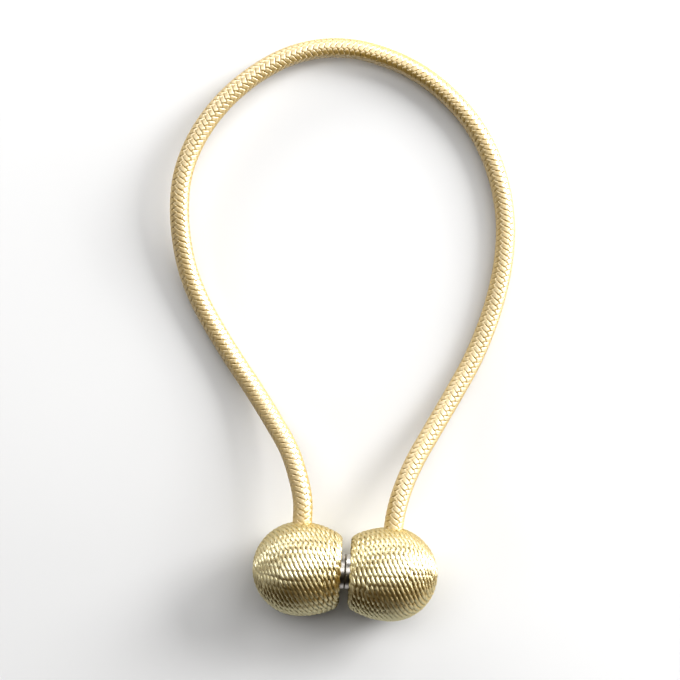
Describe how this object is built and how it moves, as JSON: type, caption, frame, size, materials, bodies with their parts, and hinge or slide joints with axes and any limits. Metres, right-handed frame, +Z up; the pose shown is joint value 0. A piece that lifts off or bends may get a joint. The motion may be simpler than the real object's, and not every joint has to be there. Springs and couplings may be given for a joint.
{
  "type": "magnetic curtain tieback",
  "caption": "Braided rope loop that ends in cord-wound balls with disc magnets, snapped together to hold a gathered curtain to one side.",
  "frame": {"origin": "on the surface that the part lies on, under the point where the magnets meet", "axes": "+X along the axis of the magnets, +Y from the balls up the loop of rope, +Z up from the surface"},
  "size_m": [0.1305, 0.2168, 0.0343],
  "materials": {
    "rope_yarn": "shiny pale-gold yarn, braided",
    "wound_cord": "shiny pale-gold twisted cord, wound",
    "nickel_plate": "bright nickel plating"
  },
  "bodies": {
    "root": {"rope": "rope_yarn", "ball_left": "wound_cord", "ball_right": "wound_cord", "magnet_left": "nickel_plate", "magnet_right": "nickel_plate"}
  },
  "joints": []
}
